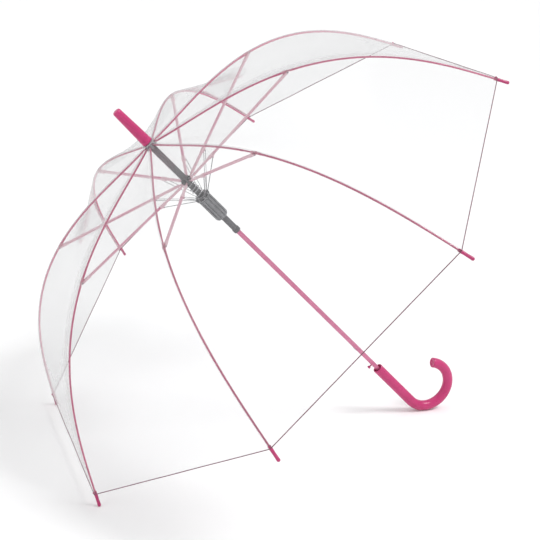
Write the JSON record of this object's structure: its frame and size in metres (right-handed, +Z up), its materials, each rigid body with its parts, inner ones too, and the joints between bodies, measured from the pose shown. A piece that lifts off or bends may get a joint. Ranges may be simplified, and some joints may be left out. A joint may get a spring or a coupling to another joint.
{
  "type": "umbrella",
  "caption": "Clear dome umbrella with an automatic folding frame, straight shaft and crook handle, lying open on its rib tips and handle.",
  "frame": {"origin": "Middle of the umbrella's bounding box in plan, on the floor that two rib tips and the crook rest on.", "axes": "+Z is up from the floor. The shaft lies in the X-Z plane: the ferrule points up toward -X and the crook is at +X. Y runs across the umbrella."},
  "size_m": [0.726, 0.89, 0.6654],
  "materials": {
    "clear_film": "clear, glossy, slightly cool film, about 0.15 mm",
    "rib_rod": "pink painted rods with pink moulded tips",
    "stretcher_metal": "pink painted folded steel",
    "wire": "plain steel wire",
    "shaft_metal": "satin pink lacquer on steel tube",
    "pink_plastic": "saturated pink, glossy",
    "white_plastic": "milky washer",
    "grey_plastic": "mid grey moulded plastic",
    "spring_steel": "bright spring steel"
  },
  "bodies": {
    "stick": {"shaft": "shaft_metal", "ferrule": "pink_plastic", "top_washer": "white_plastic", "crown": "grey_plastic", "crown_wire": "wire", "handle": "pink_plastic"},
    "rib_1_inner": {"rib_1_inner": "rib_rod"},
    "rib_1_outer": {"rib_1_outer": "rib_rod"},
    "stretcher_1": {"stretcher_1": "stretcher_metal"},
    "wire_pair_1": {"wire_pair_1": "wire"},
    "gore_1_upper": {"film_1_upper": "clear_film"},
    "gore_1_lower": {"film_1_lower": "clear_film"},
    "rib_2_inner": {"rib_2_inner": "rib_rod"},
    "rib_2_outer": {"rib_2_outer": "rib_rod"},
    "stretcher_2": {"stretcher_2": "stretcher_metal"},
    "wire_pair_2": {"wire_pair_2": "wire"},
    "gore_2_upper": {"film_2_upper": "clear_film"},
    "gore_2_lower": {"film_2_lower": "clear_film"},
    "rib_3_inner": {"rib_3_inner": "rib_rod"},
    "rib_3_outer": {"rib_3_outer": "rib_rod"},
    "stretcher_3": {"stretcher_3": "stretcher_metal"},
    "wire_pair_3": {"wire_pair_3": "wire"},
    "gore_3_upper": {"film_3_upper": "clear_film"},
    "gore_3_lower": {"film_3_lower": "clear_film"},
    "rib_4_inner": {"rib_4_inner": "rib_rod"},
    "rib_4_outer": {"rib_4_outer": "rib_rod"},
    "stretcher_4": {"stretcher_4": "stretcher_metal"},
    "wire_pair_4": {"wire_pair_4": "wire"},
    "gore_4_upper": {"film_4_upper": "clear_film"},
    "gore_4_lower": {"film_4_lower": "clear_film"},
    "rib_5_inner": {"rib_5_inner": "rib_rod"},
    "rib_5_outer": {"rib_5_outer": "rib_rod"},
    "stretcher_5": {"stretcher_5": "stretcher_metal"},
    "wire_pair_5": {"wire_pair_5": "wire"},
    "gore_5_upper": {"film_5_upper": "clear_film"},
    "gore_5_lower": {"film_5_lower": "clear_film"},
    "rib_6_inner": {"rib_6_inner": "rib_rod"},
    "rib_6_outer": {"rib_6_outer": "rib_rod"},
    "stretcher_6": {"stretcher_6": "stretcher_metal"},
    "wire_pair_6": {"wire_pair_6": "wire"},
    "gore_6_upper": {"film_6_upper": "clear_film"},
    "gore_6_lower": {"film_6_lower": "clear_film"},
    "rib_7_inner": {"rib_7_inner": "rib_rod"},
    "rib_7_outer": {"rib_7_outer": "rib_rod"},
    "stretcher_7": {"stretcher_7": "stretcher_metal"},
    "wire_pair_7": {"wire_pair_7": "wire"},
    "gore_7_upper": {"film_7_upper": "clear_film"},
    "gore_7_lower": {"film_7_lower": "clear_film"},
    "rib_8_inner": {"rib_8_inner": "rib_rod"},
    "rib_8_outer": {"rib_8_outer": "rib_rod"},
    "stretcher_8": {"stretcher_8": "stretcher_metal"},
    "wire_pair_8": {"wire_pair_8": "wire"},
    "gore_8_upper": {"film_8_upper": "clear_film"},
    "gore_8_lower": {"film_8_lower": "clear_film"},
    "runner": {"runner": "grey_plastic", "hub_wire": "wire", "main_spring": "spring_steel"},
    "slider": {"slider": "grey_plastic"},
    "release_button": {"release_button": "pink_plastic"},
    "catch": {"catch": "spring_steel"}
  },
  "joints": [
    {"name": "rib_1_fold", "type": "hinge", "parent": "stick", "child": "rib_1_inner", "pos_m": [-0.20361, 0.00291, 0.51388], "axis": [-0.2697, 0.9239, -0.2715], "range_deg": [0, 75], "stiffness_Nm_per_rad": 1.2, "springref_deg": -68.75},
    {"name": "rib_2_fold", "type": "hinge", "parent": "stick", "child": "rib_2_inner", "pos_m": [-0.20651, 0.00702, 0.51096], "axis": [-0.6511, 0.3827, -0.6554], "range_deg": [0, 75]},
    {"name": "rib_3_fold", "type": "hinge", "parent": "stick", "child": "rib_3_inner", "pos_m": [-0.21061, 0.00702, 0.50683], "axis": [-0.6511, -0.3827, -0.6554], "range_deg": [0, 75]},
    {"name": "rib_4_fold", "type": "hinge", "parent": "stick", "child": "rib_4_inner", "pos_m": [-0.21351, 0.00291, 0.50392], "axis": [-0.2697, -0.9239, -0.2715], "range_deg": [0, 75]},
    {"name": "rib_5_fold", "type": "hinge", "parent": "stick", "child": "rib_5_inner", "pos_m": [-0.21351, -0.00291, 0.50392], "axis": [0.2697, -0.9239, 0.2715], "range_deg": [0, 75]},
    {"name": "rib_6_fold", "type": "hinge", "parent": "stick", "child": "rib_6_inner", "pos_m": [-0.21061, -0.00702, 0.50683], "axis": [0.6511, -0.3827, 0.6554], "range_deg": [0, 75]},
    {"name": "rib_7_fold", "type": "hinge", "parent": "stick", "child": "rib_7_inner", "pos_m": [-0.20651, -0.00702, 0.51096], "axis": [0.6511, 0.3827, 0.6554], "range_deg": [0, 75]},
    {"name": "rib_8_fold", "type": "hinge", "parent": "stick", "child": "rib_8_inner", "pos_m": [-0.20361, -0.00291, 0.51388], "axis": [0.2697, 0.9239, 0.2715], "range_deg": [0, 75]},
    {"name": "rib_1_flex", "type": "hinge", "parent": "rib_1_inner", "child": "rib_1_outer", "pos_m": [-0.02601, 0.09028, 0.63475], "axis": [-0.2697, 0.9239, -0.2715], "range_deg": [-26, 0]},
    {"name": "rib_2_flex", "type": "hinge", "parent": "rib_2_inner", "child": "rib_2_outer", "pos_m": [-0.11598, 0.21794, 0.54418], "axis": [-0.6511, 0.3827, -0.6554], "range_deg": [-26, 0]},
    {"name": "rib_3_flex", "type": "hinge", "parent": "rib_3_inner", "child": "rib_3_outer", "pos_m": [-0.24323, 0.21794, 0.41609], "axis": [-0.6511, -0.3827, -0.6554], "range_deg": [-26, 0]},
    {"name": "rib_4_flex", "type": "hinge", "parent": "rib_4_inner", "child": "rib_4_outer", "pos_m": [-0.3332, 0.09028, 0.32551], "axis": [-0.2697, -0.9239, -0.2715], "range_deg": [-26, 0]},
    {"name": "rib_5_flex", "type": "hinge", "parent": "rib_5_inner", "child": "rib_5_outer", "pos_m": [-0.3332, -0.09028, 0.32551], "axis": [0.2697, -0.9239, 0.2715], "range_deg": [-26, 0]},
    {"name": "rib_6_flex", "type": "hinge", "parent": "rib_6_inner", "child": "rib_6_outer", "pos_m": [-0.24323, -0.21794, 0.41609], "axis": [0.6511, -0.3827, 0.6554], "range_deg": [-26, 0]},
    {"name": "rib_7_flex", "type": "hinge", "parent": "rib_7_inner", "child": "rib_7_outer", "pos_m": [-0.11598, -0.21794, 0.54418], "axis": [0.6511, 0.3827, 0.6554], "range_deg": [-26, 0]},
    {"name": "rib_8_flex", "type": "hinge", "parent": "rib_8_inner", "child": "rib_8_outer", "pos_m": [-0.02601, -0.09028, 0.63475], "axis": [0.2697, 0.9239, 0.2715], "range_deg": [-26, 0]},
    {"name": "stretcher_1_turn", "type": "hinge", "parent": "rib_1_inner", "child": "stretcher_1", "pos_m": [-0.02424, 0.09073, 0.63456], "axis": [-0.2697, 0.9239, -0.2715], "range_deg": [-150, 0]},
    {"name": "stretcher_2_turn", "type": "hinge", "parent": "rib_2_inner", "child": "stretcher_2", "pos_m": [-0.11468, 0.21905, 0.54353], "axis": [-0.6511, 0.3827, -0.6554], "range_deg": [-150, 0]},
    {"name": "stretcher_3_turn", "type": "hinge", "parent": "rib_3_inner", "child": "stretcher_3", "pos_m": [-0.24257, 0.21905, 0.41478], "axis": [-0.6511, -0.3827, -0.6554], "range_deg": [-150, 0]},
    {"name": "stretcher_4_turn", "type": "hinge", "parent": "rib_4_inner", "child": "stretcher_4", "pos_m": [-0.333, 0.09073, 0.32375], "axis": [-0.2697, -0.9239, -0.2715], "range_deg": [-150, 0]},
    {"name": "stretcher_5_turn", "type": "hinge", "parent": "rib_5_inner", "child": "stretcher_5", "pos_m": [-0.333, -0.09073, 0.32375], "axis": [0.2697, -0.9239, 0.2715], "range_deg": [-150, 0]},
    {"name": "stretcher_6_turn", "type": "hinge", "parent": "rib_6_inner", "child": "stretcher_6", "pos_m": [-0.24257, -0.21905, 0.41478], "axis": [0.6511, -0.3827, 0.6554], "range_deg": [-150, 0]},
    {"name": "stretcher_7_turn", "type": "hinge", "parent": "rib_7_inner", "child": "stretcher_7", "pos_m": [-0.11468, -0.21905, 0.54353], "axis": [0.6511, 0.3827, 0.6554], "range_deg": [-150, 0]},
    {"name": "stretcher_8_turn", "type": "hinge", "parent": "rib_8_inner", "child": "stretcher_8", "pos_m": [-0.02424, -0.09073, 0.63456], "axis": [0.2697, 0.9239, 0.2715], "range_deg": [-150, 0]},
    {"name": "wire_pair_1_turn", "type": "hinge", "parent": "stretcher_1", "child": "wire_pair_1", "pos_m": [-0.11433, 0.02272, 0.49259], "axis": [-0.2697, 0.9239, -0.2715], "range_deg": [0, 30.15]},
    {"name": "wire_pair_2_turn", "type": "hinge", "parent": "stretcher_2", "child": "wire_pair_2", "pos_m": [-0.13697, 0.05484, 0.4698], "axis": [-0.6511, 0.3827, -0.6554], "range_deg": [0, 30.15]},
    {"name": "wire_pair_3_turn", "type": "hinge", "parent": "stretcher_3", "child": "wire_pair_3", "pos_m": [-0.16899, 0.05484, 0.43757], "axis": [-0.6511, -0.3827, -0.6554], "range_deg": [0, 30.15]},
    {"name": "wire_pair_4_turn", "type": "hinge", "parent": "stretcher_4", "child": "wire_pair_4", "pos_m": [-0.19163, 0.02272, 0.41478], "axis": [-0.2697, -0.9239, -0.2715], "range_deg": [0, 30.15]},
    {"name": "wire_pair_5_turn", "type": "hinge", "parent": "stretcher_5", "child": "wire_pair_5", "pos_m": [-0.19163, -0.02272, 0.41478], "axis": [0.2697, -0.9239, 0.2715], "range_deg": [0, 30.15]},
    {"name": "wire_pair_6_turn", "type": "hinge", "parent": "stretcher_6", "child": "wire_pair_6", "pos_m": [-0.16899, -0.05484, 0.43757], "axis": [0.6511, -0.3827, 0.6554], "range_deg": [0, 30.15]},
    {"name": "wire_pair_7_turn", "type": "hinge", "parent": "stretcher_7", "child": "wire_pair_7", "pos_m": [-0.13697, -0.05484, 0.4698], "axis": [0.6511, 0.3827, 0.6554], "range_deg": [0, 30.15]},
    {"name": "wire_pair_8_turn", "type": "hinge", "parent": "stretcher_8", "child": "wire_pair_8", "pos_m": [-0.11433, -0.02272, 0.49259], "axis": [0.2697, 0.9239, 0.2715], "range_deg": [0, 30.15]},
    {"name": "runner_travel", "type": "hinge", "parent": "stretcher_1", "child": "runner", "pos_m": [-0.14374, 0.00291, 0.4544], "axis": [-0.2697, 0.9239, -0.2715], "range_deg": [0, 75]},
    {"name": "slider_slide", "type": "slide", "parent": "runner", "child": "slider", "axis": [-0.7094, 0, 0.7048], "range_m": [0, 0.02367], "deforming": ["main_spring"]},
    {"name": "gore_1_fold", "type": "hinge", "parent": "stick", "child": "gore_1_upper", "pos_m": [-0.20506, 0.00496, 0.51242], "axis": [-0.4983, 0.7071, -0.5017], "range_deg": [0, 73.85], "deforming": ["film_1_upper"]},
    {"name": "gore_2_fold", "type": "hinge", "parent": "stick", "child": "gore_2_upper", "pos_m": [-0.20856, 0.00702, 0.5089], "axis": [-0.7048, 0, -0.7094], "range_deg": [0, 73.85], "deforming": ["film_2_upper"]},
    {"name": "gore_3_fold", "type": "hinge", "parent": "stick", "child": "gore_3_upper", "pos_m": [-0.21206, 0.00496, 0.50537], "axis": [-0.4983, -0.7071, -0.5017], "range_deg": [0, 73.85], "deforming": ["film_3_upper"]},
    {"name": "gore_4_fold", "type": "hinge", "parent": "stick", "child": "gore_4_upper", "pos_m": [-0.21351, 0, 0.50392], "axis": [0, -1, 0], "range_deg": [0, 73.85], "deforming": ["film_4_upper"]},
    {"name": "gore_5_fold", "type": "hinge", "parent": "stick", "child": "gore_5_upper", "pos_m": [-0.21206, -0.00496, 0.50537], "axis": [0.4983, -0.7071, 0.5017], "range_deg": [0, 73.85], "deforming": ["film_5_upper"]},
    {"name": "gore_6_fold", "type": "hinge", "parent": "stick", "child": "gore_6_upper", "pos_m": [-0.20856, -0.00702, 0.5089], "axis": [0.7048, 0, 0.7094], "range_deg": [0, 73.85], "deforming": ["film_6_upper"]},
    {"name": "gore_7_fold", "type": "hinge", "parent": "stick", "child": "gore_7_upper", "pos_m": [-0.20506, -0.00496, 0.51242], "axis": [0.4983, 0.7071, 0.5017], "range_deg": [0, 73.85], "deforming": ["film_7_upper"]},
    {"name": "gore_8_fold", "type": "hinge", "parent": "stick", "child": "gore_8_upper", "pos_m": [-0.20361, 0, 0.51388], "axis": [0, 1, 0], "range_deg": [0, 73.85], "deforming": ["film_8_upper"]},
    {"name": "gore_1_flex", "type": "hinge", "parent": "gore_1_upper", "child": "gore_1_lower", "pos_m": [-0.071, 0.15411, 0.58947], "axis": [-0.4983, 0.7071, -0.5017], "range_deg": [-27.25, 0], "deforming": ["film_1_lower"]},
    {"name": "gore_2_flex", "type": "hinge", "parent": "gore_2_upper", "child": "gore_2_lower", "pos_m": [-0.17961, 0.21794, 0.48013], "axis": [-0.7048, 0, -0.7094], "range_deg": [-27.25, 0], "deforming": ["film_2_lower"]},
    {"name": "gore_3_flex", "type": "hinge", "parent": "gore_3_upper", "child": "gore_3_lower", "pos_m": [-0.28822, 0.15411, 0.3708], "axis": [-0.4983, -0.7071, -0.5017], "range_deg": [-27.25, 0], "deforming": ["film_3_lower"]},
    {"name": "gore_4_flex", "type": "hinge", "parent": "gore_4_upper", "child": "gore_4_lower", "pos_m": [-0.3332, 0, 0.32551], "axis": [0, -1, 0], "range_deg": [-27.25, 0], "deforming": ["film_4_lower"]},
    {"name": "gore_5_flex", "type": "hinge", "parent": "gore_5_upper", "child": "gore_5_lower", "pos_m": [-0.28822, -0.15411, 0.3708], "axis": [0.4983, -0.7071, 0.5017], "range_deg": [-27.25, 0], "deforming": ["film_5_lower"]},
    {"name": "gore_6_flex", "type": "hinge", "parent": "gore_6_upper", "child": "gore_6_lower", "pos_m": [-0.17961, -0.21794, 0.48013], "axis": [0.7048, 0, 0.7094], "range_deg": [-27.25, 0], "deforming": ["film_6_lower"]},
    {"name": "gore_7_flex", "type": "hinge", "parent": "gore_7_upper", "child": "gore_7_lower", "pos_m": [-0.071, -0.15411, 0.58947], "axis": [0.4983, 0.7071, 0.5017], "range_deg": [-27.25, 0], "deforming": ["film_7_lower"]},
    {"name": "gore_8_flex", "type": "hinge", "parent": "gore_8_upper", "child": "gore_8_lower", "pos_m": [-0.02601, 0, 0.63475], "axis": [0, 1, 0], "range_deg": [-27.25, 0], "deforming": ["film_8_lower"]},
    {"name": "button_press", "type": "slide", "parent": "stick", "child": "release_button", "axis": [0.7048, 0, 0.7094], "range_m": [0, 0.0012], "stiffness_N_per_m": 900, "springref_m": -0.0006},
    {"name": "catch_retract", "type": "slide", "parent": "stick", "child": "catch", "axis": [0.7048, 0, 0.7094], "range_m": [0, 0.0012]}
  ],
  "couplings": [
    {"joint": "rib_2_fold", "follows": "rib_1_fold", "ratio": 1},
    {"joint": "rib_3_fold", "follows": "rib_1_fold", "ratio": 1},
    {"joint": "rib_4_fold", "follows": "rib_1_fold", "ratio": 1},
    {"joint": "rib_5_fold", "follows": "rib_1_fold", "ratio": 1},
    {"joint": "rib_6_fold", "follows": "rib_1_fold", "ratio": 1},
    {"joint": "rib_7_fold", "follows": "rib_1_fold", "ratio": 1},
    {"joint": "rib_8_fold", "follows": "rib_1_fold", "ratio": 1},
    {"joint": "rib_1_flex", "follows": "rib_1_fold", "ratio": -0.34667},
    {"joint": "rib_2_flex", "follows": "rib_1_fold", "ratio": -0.34667},
    {"joint": "rib_3_flex", "follows": "rib_1_fold", "ratio": -0.34667},
    {"joint": "rib_4_flex", "follows": "rib_1_fold", "ratio": -0.34667},
    {"joint": "rib_5_flex", "follows": "rib_1_fold", "ratio": -0.34667},
    {"joint": "rib_6_flex", "follows": "rib_1_fold", "ratio": -0.34667},
    {"joint": "rib_7_flex", "follows": "rib_1_fold", "ratio": -0.34667},
    {"joint": "rib_8_flex", "follows": "rib_1_fold", "ratio": -0.34667},
    {"joint": "stretcher_1_turn", "follows": "rib_1_fold", "ratio": -2},
    {"joint": "stretcher_2_turn", "follows": "rib_1_fold", "ratio": -2},
    {"joint": "stretcher_3_turn", "follows": "rib_1_fold", "ratio": -2},
    {"joint": "stretcher_4_turn", "follows": "rib_1_fold", "ratio": -2},
    {"joint": "stretcher_5_turn", "follows": "rib_1_fold", "ratio": -2},
    {"joint": "stretcher_6_turn", "follows": "rib_1_fold", "ratio": -2},
    {"joint": "stretcher_7_turn", "follows": "rib_1_fold", "ratio": -2},
    {"joint": "stretcher_8_turn", "follows": "rib_1_fold", "ratio": -2},
    {"joint": "wire_pair_1_turn", "follows": "rib_1_fold", "ratio": 0.40204},
    {"joint": "wire_pair_2_turn", "follows": "rib_1_fold", "ratio": 0.40204},
    {"joint": "wire_pair_3_turn", "follows": "rib_1_fold", "ratio": 0.40204},
    {"joint": "wire_pair_4_turn", "follows": "rib_1_fold", "ratio": 0.40204},
    {"joint": "wire_pair_5_turn", "follows": "rib_1_fold", "ratio": 0.40204},
    {"joint": "wire_pair_6_turn", "follows": "rib_1_fold", "ratio": 0.40204},
    {"joint": "wire_pair_7_turn", "follows": "rib_1_fold", "ratio": 0.40204},
    {"joint": "wire_pair_8_turn", "follows": "rib_1_fold", "ratio": 0.40204},
    {"joint": "runner_travel", "follows": "rib_1_fold", "ratio": 1},
    {"joint": "slider_slide", "follows": "rib_1_fold", "m_per_rad": 0.018085},
    {"joint": "gore_1_fold", "follows": "rib_1_fold", "ratio": 0.98467},
    {"joint": "gore_2_fold", "follows": "rib_1_fold", "ratio": 0.98467},
    {"joint": "gore_3_fold", "follows": "rib_1_fold", "ratio": 0.98467},
    {"joint": "gore_4_fold", "follows": "rib_1_fold", "ratio": 0.98467},
    {"joint": "gore_5_fold", "follows": "rib_1_fold", "ratio": 0.98467},
    {"joint": "gore_6_fold", "follows": "rib_1_fold", "ratio": 0.98467},
    {"joint": "gore_7_fold", "follows": "rib_1_fold", "ratio": 0.98467},
    {"joint": "gore_8_fold", "follows": "rib_1_fold", "ratio": 0.98467},
    {"joint": "gore_1_flex", "follows": "rib_1_fold", "ratio": -0.36333},
    {"joint": "gore_2_flex", "follows": "rib_1_fold", "ratio": -0.36333},
    {"joint": "gore_3_flex", "follows": "rib_1_fold", "ratio": -0.36333},
    {"joint": "gore_4_flex", "follows": "rib_1_fold", "ratio": -0.36333},
    {"joint": "gore_5_flex", "follows": "rib_1_fold", "ratio": -0.36333},
    {"joint": "gore_6_flex", "follows": "rib_1_fold", "ratio": -0.36333},
    {"joint": "gore_7_flex", "follows": "rib_1_fold", "ratio": -0.36333},
    {"joint": "gore_8_flex", "follows": "rib_1_fold", "ratio": -0.36333},
    {"joint": "catch_retract", "follows": "button_press", "ratio": 1}
  ]
}
